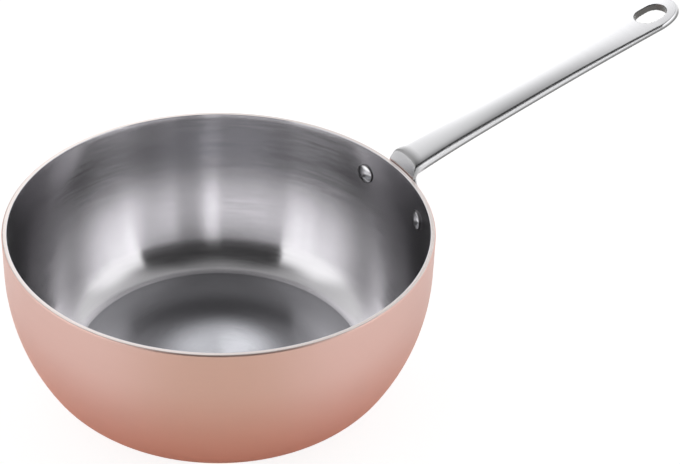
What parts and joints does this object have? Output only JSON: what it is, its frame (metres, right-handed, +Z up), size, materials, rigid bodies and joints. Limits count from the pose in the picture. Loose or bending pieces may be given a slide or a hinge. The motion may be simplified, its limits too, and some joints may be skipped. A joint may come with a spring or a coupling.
{
  "type": "saucier pan",
  "caption": "Round-bottomed saucier pan for sauces and reductions: clad copper bowl with a steel lining and a long riveted steel handle with a hanging eye.",
  "frame": {"origin": "centre of the flat underside of the base", "axes": "+Z up out of the bowl's mouth, +X out along the handle, +Y across the handle"},
  "size_m": [0.3698, 0.205, 0.1383],
  "materials": {
    "copper": "satin",
    "aluminium": "ground",
    "lining_steel": "brushed in circles",
    "handle_steel": "polished",
    "rivet_steel": "satin"
  },
  "bodies": {
    "root": {"copper_shell": "copper", "aluminium_core": "aluminium", "steel_liner": "lining_steel", "handle": "handle_steel", "rivet_left": "rivet_steel", "rivet_right": "rivet_steel"}
  },
  "joints": []
}
